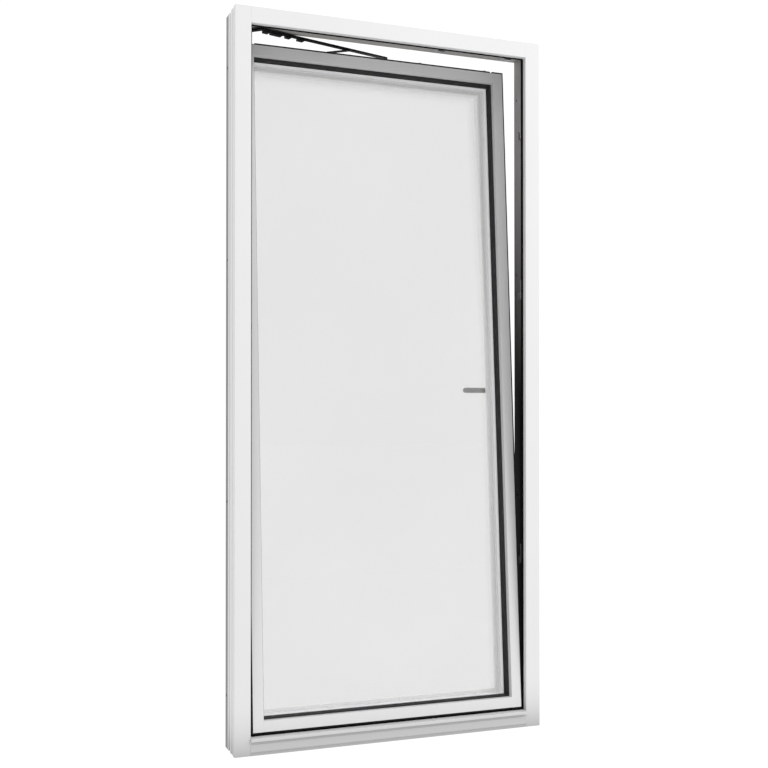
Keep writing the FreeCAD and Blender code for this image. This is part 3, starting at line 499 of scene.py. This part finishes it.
def glow_through_glass(tree, shader, code, share):
    """A glow that only a view through the panes shows, so that pale pieces behind them don't turn dark.

    The real finish has no such glow. It is an aid for the view from outside, and an export leaves it out.
    """
    if not share:
        return
    ray = add(tree, "ShaderNodeLightPath")
    glow = add(tree, "ShaderNodeMath", {0: ray.outputs["Is Transmission Ray"], 1: share},
               operation="MULTIPLY")
    shader.inputs["Emission Color"].default_value = srgb(code)
    tree.links.new(glow.outputs[0], shader.inputs["Emission Strength"])


def speckled(name, code, rough, grain_mm, metallic=0.0, contrast=1.25, gloss=0.5, lift=0.0):
    """A plain finish with a fine grain in its colour, gloss and surface."""
    def build(tree):
        place = add(tree, "ShaderNodeTexCoord").outputs["Object"]
        grain = add(tree, "ShaderNodeTexNoise", {"Vector": place, "Scale": 1 / (grain_mm * MM),
                                                 "Detail": 3.0})
        shade = add(tree, "ShaderNodeMix", {"Factor": grain.outputs[0],
                                            "A": [c / contrast for c in srgb(code)],
                                            "B": [min(1.0, c * contrast) for c in srgb(code)]},
                    data_type="RGBA")
        level = add(tree, "ShaderNodeMapRange", {"Value": grain.outputs[0], "To Min": max(0.0, rough - 0.06),
                                                 "To Max": rough + 0.06})
        bump = add(tree, "ShaderNodeBump", {"Height": grain.outputs[0], "Strength": 0.1,
                                            "Distance": 0.05 * MM})
        shader = add(tree, "ShaderNodeBsdfPrincipled",
                     {"Base Color": shade.outputs["Result"], "Roughness": level.outputs[0],
                      "Metallic": metallic, "Specular IOR Level": gloss, "Normal": bump.outputs[0]})
        glow_through_glass(tree, shader, code, lift)
        return shader
    return finish_material(name, build)


def rubber():
    """EPDM rubber: black, dull, slightly mottled."""
    return speckled("epdm_rubber", "#070707", 0.62, 0.8, gloss=0.05)


def black_steel():
    """Steel with a black passivated finish: dark, half dull."""
    return speckled("black_passivated_steel", "#0b0b0c", 0.38, 1.2, gloss=0.12)


def zinc_steel():
    """Bright zinc-plated steel: pale metal with a fine satin grain."""
    return speckled("zinc_plated_steel", "#b4b5b6", 0.34, 0.9, metallic=1.0, contrast=1.08)


def anodised():
    """Satin anodised aluminium: mid grey metal, soft highlights."""
    return speckled("satin_anodised_aluminium", "#97989a", 0.36, 0.7, metallic=1.0, contrast=1.05)


def pale_floor():
    """Bright studio floor: matt white, lit from below so that no horizon shows."""
    def build(tree):
        place = add(tree, "ShaderNodeTexCoord").outputs["Object"]
        grain = add(tree, "ShaderNodeTexNoise", {"Vector": place, "Scale": 20.0, "Detail": 2.0})
        shade = add(tree, "ShaderNodeMix", {"Factor": grain.outputs[0], "A": srgb("#505050"),
                                            "B": srgb("#585858")}, data_type="RGBA")
        return add(tree, "ShaderNodeBsdfPrincipled",
                   {"Base Color": shade.outputs["Result"], "Roughness": 1.0, "Specular IOR Level": 0.0,
                    "Emission Color": [1.0, 1.0, 1.0, 1.0], "Emission Strength": 0.96})
    return finish_material("pale_floor", build)


def float_glass():
    """Clear float glass: colourless, with the faintest drift of tone across the pane."""
    def build(tree):
        place = add(tree, "ShaderNodeTexCoord").outputs["Object"]
        drift = add(tree, "ShaderNodeTexNoise", {"Vector": place, "Scale": 1 / (500 * MM), "Detail": 1.0})
        tint = add(tree, "ShaderNodeMix", {"Factor": drift.outputs[0], "A": srgb("#f3f3f3"),
                                           "B": srgb("#f5f5f5")}, data_type="RGBA")
        glass = add(tree, "ShaderNodeBsdfPrincipled",
                    {"Base Color": tint.outputs["Result"], "Roughness": 0.0, "IOR": 1.5,
                     "Transmission Weight": 1.0})
        # Lamps and sky reach what lies behind the panes, as they do through real glass.
        clear = add(tree, "ShaderNodeBsdfTransparent", {"Color": srgb("#ffffff")})
        ray = add(tree, "ShaderNodeLightPath")
        return add(tree, "ShaderNodeMixShader", {0: ray.outputs["Is Shadow Ray"], 1: glass.outputs[0],
                                                 2: clear.outputs[0]})
    return finish_material("float_glass", build)


# ------------------------------------------------------------------ settings
def millimetres(name, description, default):
    """A length setting, kept in millimetres."""
    return bpy.props.FloatProperty(name=name, description=description + ", in millimetres",
                                   default=default, min=0.0, subtype="DISTANCE_CAMERA")


def colour(name, description, code):
    """A colour setting whose default is a hex colour."""
    return bpy.props.StringProperty(name=name, description=description + ", as an sRGB hex code",
                                    default=code)


class WindowSizes(bpy.types.PropertyGroup):
    cladding_edge: millimetres("Cladding edge", "Radius of the aluminium cladding's edges", 0.6)
    timber_edge: millimetres("Timber edge", "Radius of the timber's edges", 1.5)
    bead_edge: millimetres("Bead edge", "Radius of the glazing beads' edges", 0.8)
    steel_edge: millimetres("Steel edge", "Radius of the steel pieces' edges", 0.4)
    glass_edge: millimetres("Glass edge", "Arris of the panes", 0.5)
    grip_edge: millimetres("Grip edge", "Rounding of the handle's grip", 3.4)
    rose_edge: millimetres("Rose edge", "Rounding of the handle's rose", 2.4)
    recess: millimetres("Screw socket", "Radius of a screw's hexagon socket", 1.4)


class WindowColours(bpy.types.PropertyGroup):
    frame_white: colour("Frame white", "Powder coat of the frame", "#e5e5e5")
    # The sash's white is set darker than the frame's: painted shade of its recess, on the same coat.
    sash_white_painted_shade: colour("Sash white", "Powder coat of the sash", "#dfdfdf")
    apron_grey: colour("Apron grey", "Powder coat of the sill's apron", "#c2c2c2")
    core_black: colour("Core black", "Foot of the frame's composite core", "#060606")
    # The core's and the liner's head colours are painted light: the rebate is painted paler towards the head.
    core_painted_light: colour("Core painted light", "Head of the frame's composite core", "#b0b0b0")
    liner_painted_light: colour("Liner painted light", "Head of the frame's timber liner", "#aaa8a5")
    reveal_black: colour("Reveal black", "Matt composite round the glass", "#363637")
    seal_grey: colour("Seal grey", "Inner glazing seal", "#f4f4f4")
    spacer_grey: colour("Spacer grey", "Spacers between the panes", "#f4f4f5")


def sizes():
    """The scene's size settings."""
    return bpy.context.scene.window_sizes


def colours():
    """The scene's colour settings."""
    return bpy.context.scene.window_colours


# ------------------------------------------------------------------ operators
class WINDOW_OT_cladding(bpy.types.Operator):
    """Powder-coated aluminium of the frame, the sill and the sash"""
    bl_idname = "window_parts.cladding"
    bl_label = "Aluminium cladding"

    def execute(self, context):
        # The frame is painted darker towards its foot: painted shade near the floor.
        coat = powder_coat("white_powder_coat_frame", colours().frame_white, painted_foot_shade=0.42)
        for node in ("jamb_cladding_left", "jamb_cladding_right", "head_cladding", "sill_nose"):
            eased(node, sizes().cladding_edge, coat, along=2 if "jamb" in node else 0)
        # The apron is painted darker at its base: painted shade.
        eased("sill_apron", sizes().cladding_edge,
              powder_coat("grey_powder_coat_apron", colours().apron_grey, painted_foot_shade=0.24, reach_mm=9.0,
                          fall=0.15), along=0)
        # The sash's coat is painted a shade darker than the frame's: painted shade.
        coat = powder_coat("white_powder_coat_sash_painted_shade", colours().sash_white_painted_shade)
        for side in SIDES:
            eased("sash_cladding_" + side, sizes().cladding_edge, coat,
                  along=2 if side in ("left", "right") else 0)
        return {"FINISHED"}


class WINDOW_OT_core(bpy.types.Operator):
    """Black composite core of the frame and the sash"""
    bl_idname = "window_parts.core"
    bl_label = "Composite core"

    def execute(self, context):
        for node, along in (("jamb_core_left", 2), ("jamb_core_right", 2), ("head_core", 0),
                            ("sill_core", 0)):
            # The core is painted paler towards its head: painted light.
            finish = drawn_plastic(f"black_composite_{'xyz'[along]}", colours().core_black,
                                   colours().core_painted_light, along, rough=0.55, gloss=0.04)
            eased(node, sizes().cladding_edge, finish, along=along)
        for side in SIDES:
            along = 2 if side in ("left", "right") else 0
            finish = drawn_plastic(f"matt_composite_{'xyz'[along]}", colours().reveal_black,
                                   colours().reveal_black, along, rough=0.65, gloss=0.15)
            eased("sash_core_" + side, sizes().cladding_edge, finish, along=along)
        return {"FINISHED"}


class WINDOW_OT_timber(bpy.types.Operator):
    """Dark timber of the frame, white timber of the sash and its glazing beads"""
    bl_idname = "window_parts.timber"
    bl_label = "Timber"

    def execute(self, context):
        for nodes, along in ((("jamb_liner_left", "jamb_liner_right"), 2), (("head_liner", "sill_liner"), 0)):
            for node in nodes:
                # The liner is painted paler towards its head in the rebate: painted light.
                finish = dark_timber(f"dark_pine_{'xyz'[along]}", along, colours().liner_painted_light)
                eased(node, sizes().timber_edge, finish, 3, along)
        for nodes, along in ((("sash_wood_left", "sash_wood_right", "glazing_beads_upright"), 2),
                             (("sash_wood_top", "sash_wood_bottom", "glazing_beads_cross"), 0)):
            for node in nodes:
                width = sizes().bead_edge if "bead" in node else sizes().timber_edge
                eased(node, width, white_timber(f"white_pine_{'xyz'[along]}", along), 3, along)
        return {"FINISHED"}


class WINDOW_OT_glazing(bpy.types.Operator):
    """Three panes, spacers, edge seal and setting blocks"""
    bl_idname = "window_parts.glazing"
    bl_label = "Glazing"

    def execute(self, context):
        for pane in ("outer", "middle", "inner"):
            eased("glass_" + pane, sizes().glass_edge, float_glass())
        # Warm-edge spacer: near-white satin plastic.
        eased("glass_spacers", 0.5, speckled("warm_edge_spacer", colours().spacer_grey, 0.45, 1.0,
                                             contrast=1.05, lift=0.4))
        eased("edge_seals", 0.4, speckled("polysulphide_seal", "#151516", 0.6, 1.5))
        eased("setting_blocks", 0.5, speckled("setting_block_plastic", "#3d3f44", 0.5, 1.5))
        return {"FINISHED"}


class WINDOW_OT_gaskets(bpy.types.Operator):
    """Rubber gaskets with a usual section each: the frame's bulb seal and two glazing seals"""
    bl_idname = "window_parts.gaskets"
    bl_label = "Gaskets"

    def execute(self, context):
        # Frame seal: a foot behind the flange, a thin web and a bulb that the sash's brim closes on.
        # The bulb stands 0.7 mm further in than the CAD ring, and is pressed back at the head.
        section = [(34.2, 17.0), (44.0, 17.0), (45.6, 17.6)]
        section += arc((50.3, 19.25), 2.2, 225, -135, 10)[1:-1]
        section += [(47.4, 20.6), (43.0, 21.4), (34.2, 21.4)]
        piece_from("frame_seal", swept_ring("frame_seal", section, False, head_limit=48.6), "frame",
                   rubber(), ("frame_gasket",))
        # Outer glazing seal: a flat foot between core and pane with a small feathered lip.
        outer = [(82.4, 54.1), (90.6, 54.1), (91.4, 54.9), (91.5, 57.2), (90.4, 57.9), (82.4, 57.9)]
        piece_from("outer_glazing_seal", swept_ring("outer_glazing_seal", outer, True), "sash",
                   rubber(), ("glazing_gasket_outer",))
        inner = [(93.4, 94.1), (101.4, 94.1), (102.5, 94.8), (102.4, 97.1), (101.6, 97.9), (93.4, 97.9)]
        # The room side is sealed with near-white rubber, to match the white beads.
        piece_from("inner_glazing_seal", swept_ring("inner_glazing_seal", inner, True), "sash",
                   speckled("grey_epdm_rubber", colours().seal_grey, 0.6, 0.8, contrast=1.05, lift=0.5),
                   ("glazing_gasket_inner",))
        return {"FINISHED"}


class WINDOW_OT_stay(bpy.types.Operator):
    """Stay arm, its link and studs, and the slotted guide"""
    bl_idname = "window_parts.stay"
    bl_label = "Stay"

    def execute(self, context):
        for node in ("stay_arm", "stay_link", "stay_guide", "arm_studs"):
            finish = zinc_steel() if node == "arm_studs" else black_steel()
            eased(node, sizes().steel_edge, finish)
        return {"FINISHED"}


class WINDOW_OT_hinges(bpy.types.Operator):
    """Bearings, knuckle, bracket and pins"""
    bl_idname = "window_parts.hinges"
    bl_label = "Hinges"

    def execute(self, context):
        for node in ("lower_bearing", "stay_bearing", "hinge_knuckle", "hinge_bracket"):
            eased(node, sizes().steel_edge, black_steel())
        for node in ("hinge_pins", "tilt_pin", "tilt_pivot_stub"):
            eased(node, sizes().steel_edge, zinc_steel())
        return {"FINISHED"}


class WINDOW_OT_lock_gear(bpy.types.Operator):
    """Rods, cams, face plate, gearbox and keepers"""
    bl_idname = "window_parts.lock_gear"
    bl_label = "Lock gear"

    def execute(self, context):
        for node in ("lock_rod_stile", "lock_rod_top", "lock_face_plate", "gearbox", "keepers",
                     "tilt_pivot_keeper", "handle_spindle"):
            eased(node, sizes().steel_edge, zinc_steel())
        # Mushroom cams: a wide flat head on a short stem, with a socket to set their pressure.
        fasteners("lock_cams_stile", (False, False, False),
                  {"Head Top Radius": 5.1, "Head Base Radius": 5.5, "Head Height": 2.5, "Shank Radius": 3.5,
                   "Recess Radius": 1.8, "Recess Depth": 1.2})
        return {"FINISHED"}


class WINDOW_OT_handle(bpy.types.Operator):
    """Lever handle and its rose"""
    bl_idname = "window_parts.handle"
    bl_label = "Handle"

    def execute(self, context):
        axis_x = RIGHT_X / MM - HANDLE_IN
        edge = sizes().rose_edge
        rose = [rounded_outline((axis_x - ROSE_HALF_W + inset, HANDLE_Z - ROSE_HALF_H + inset),
                                (axis_x + ROSE_HALF_W - inset, HANDLE_Z + ROSE_HALF_H - inset),
                                ROSE_CORNER - inset, depth)
                for inset, depth in [(0.0, SASH_FACE)] + [(edge - x, ROSE_FACE - edge + y)
                                                          for x, y in arc((0.0, 0.0), edge, 0, 90, 6)]]
        piece_from("handle_rose_finished", solid_on_sash("handle_rose", [rose]), body_of("handle_rose"),
                   anodised(), ("handle_rose",))
        # Lever: a round neck that flares into a grip with a fully rounded end.
        edge = sizes().grip_edge
        rounding = [(edge - x, GRIP_NEAR + edge - y) for x, y in arc((0.0, 0.0), edge, 90, 0, 6)]
        rounding += [(edge - x, GRIP_FAR - edge + y) for x, y in arc((0.0, 0.0), edge, 0, 90, 6)]
        grip = [rounded_outline((axis_x - GRIP_REACH + inset, HANDLE_Z - GRIP_HALF + inset),
                                (axis_x + GRIP_HALF - inset, HANDLE_Z + GRIP_HALF - inset),
                                GRIP_HALF - inset - ROUND_GAP, depth) for inset, depth in rounding]
        # The neck's radius at each depth, from inside the rose to inside the grip.
        neck_steps = ((7.4, 111.0), (8.0, 111.6), (8.0, 121.0), (6.9, 125.0), (6.5, 131.0),
                      (6.7, 138.0), (7.4, 142.5), (8.0, 146.0))
        neck = [rounded_outline((axis_x - radius, HANDLE_Z - radius), (axis_x + radius, HANDLE_Z + radius),
                                radius - ROUND_GAP, depth) for radius, depth in neck_steps]
        piece_from("handle_lever_finished", solid_on_sash("handle_lever", [grip, neck]),
                   body_of("handle_lever"), anodised(), ("handle_lever",))
        return {"FINISHED"}


class WINDOW_OT_screws(bpy.types.Operator):
    """Screws of the keepers, the bearings and the bracket"""
    bl_idname = "window_parts.screws"
    bl_label = "Screws"

    def execute(self, context):
        socket = {"Recess Radius": sizes().recess, "Recess Depth": 1.1, "Shank Radius": 1.9}
        sunk = dict(socket, **{"Head Top Radius": 3.6, "Head Base Radius": 2.0, "Head Height": 1.9})
        raised = dict(socket, **{"Head Top Radius": 2.9, "Head Base Radius": 3.6, "Head Height": 1.6})
        fasteners("keeper_screws", (True, True, True), sunk)
        fasteners("bearing_screws", (True, False, True), raised)
        fasteners("bracket_screws", (True, True, True), sunk)
        return {"FINISHED"}


class WINDOW_OT_stage(bpy.types.Operator):
    """Pale floor, soft light and the camera"""
    bl_idname = "window_parts.stage"
    bl_label = "Stage"

    def execute(self, context):
        scene = context.scene
        work = bmesh.new()
        bmesh.ops.create_grid(work, x_segments=1, y_segments=1, size=40.0)
        mesh = bpy.data.meshes.new("floor")
        work.to_mesh(mesh)
        work.free()
        floor = bpy.data.objects.new("floor", mesh)
        scene.collection.objects.link(floor)
        mesh.materials.append(pale_floor())
        # The floor shows but throws no light back on to the window; the world does that.
        floor.visible_diffuse = False
        floor.visible_glossy = False

        world = bpy.data.worlds.new("studio")
        scene.world = world
        world.use_nodes = True
        tree = world.node_tree
        tree.nodes.clear()
        ray = add(tree, "ShaderNodeLightPath")
        around = add(tree, "ShaderNodeTexCoord").outputs["Generated"]
        way = add(tree, "ShaderNodeSeparateXYZ", {"Vector": around})
        sky = add(tree, "ShaderNodeMapRange", {"Value": way.outputs["Z"], "From Min": 0.0, "From Max": 1.0,
                                               "To Min": 0.56, "To Max": 1.35})
        ground = add(tree, "ShaderNodeMapRange", {"Value": way.outputs["Z"], "From Min": -0.8,
                                                  "From Max": 0.0, "To Min": 0.7, "To Max": 0.0})
        rise = add(tree, "ShaderNodeMath", {0: sky.outputs[0], 1: ground.outputs[0]}, operation="ADD")
        soft = add(tree, "ShaderNodeBackground", {"Color": rise.outputs[0], "Strength": 1.0})
        white = add(tree, "ShaderNodeBackground", {"Color": [1, 1, 1, 1], "Strength": 1.05})
        # What the eye, a reflection or a pane sees is the white studio; what lights the window is graded.
        seen = ray.outputs["Is Camera Ray"]
        for kind in ("Is Glossy Ray", "Is Transmission Ray"):
            seen = add(tree, "ShaderNodeMath", {0: seen, 1: ray.outputs[kind]},
                       operation="MAXIMUM").outputs[0]
        both = add(tree, "ShaderNodeMixShader", {0: seen, 1: soft.outputs[0], 2: white.outputs[0]})
        add(tree, "ShaderNodeOutputWorld", {"Surface": both.outputs[0]})

        lamp = bpy.data.lights.new("key", "AREA")
        lamp.shape = "RECTANGLE"
        lamp.size = 2.0
        lamp.size_y = 1.6
        lamp.energy = 125.0
        key = bpy.data.objects.new("key", lamp)
        key.location = (3.3, -4.2, 4.2)
        key.visible_glossy = False
        key.visible_transmission = False
        key.rotation_euler = (Vector((0, 0, 1.1)) - key.location).to_track_quat("-Z", "Y").to_euler()
        scene.collection.objects.link(key)

        view = bpy.data.cameras.new("camera")
        view.sensor_width = 36.0
        view.lens = 51.875
        view.shift_y = 0.0366
        view.clip_end = 200.0
        camera = bpy.data.objects.new("camera", view)
        camera.location = (-1.153, -3.0133, 0.92706)
        camera.rotation_euler = (math.radians(90.5105), 0.0, math.radians(-20.3787))
        scene.collection.objects.link(camera)
        scene.camera = camera
        scene.view_settings.view_transform = "Standard"
        return {"FINISHED"}


class WINDOW_PT_panel(bpy.types.Panel):
    """Lists the window's operators and settings"""
    bl_label = "Window"
    bl_space_type = "VIEW_3D"
    bl_region_type = "UI"
    bl_category = "Window"

    def draw(self, context):
        for group in (context.scene.window_sizes, context.scene.window_colours):
            for key in group.__annotations__:
                self.layout.prop(group, key)
        for operator in OPERATORS:
            self.layout.operator(operator.bl_idname)


OPERATORS = (WINDOW_OT_stage, WINDOW_OT_cladding, WINDOW_OT_core, WINDOW_OT_timber, WINDOW_OT_glazing,
             WINDOW_OT_gaskets, WINDOW_OT_stay, WINDOW_OT_hinges, WINDOW_OT_lock_gear, WINDOW_OT_handle,
             WINDOW_OT_screws)
CLASSES = (WindowSizes, WindowColours) + OPERATORS + (WINDOW_PT_panel,)


def register():
    for item in CLASSES:
        bpy.utils.register_class(item)
    bpy.types.Scene.window_sizes = bpy.props.PointerProperty(type=WindowSizes)
    bpy.types.Scene.window_colours = bpy.props.PointerProperty(type=WindowColours)


def unregister():
    del bpy.types.Scene.window_colours
    del bpy.types.Scene.window_sizes
    for item in reversed(CLASSES):
        bpy.utils.unregister_class(item)


def main():
    register()
    for operator in OPERATORS:
        name = operator.bl_idname.split(".")[1]
        getattr(bpy.ops.window_parts, name)()


if __name__ == "__main__":
    main()
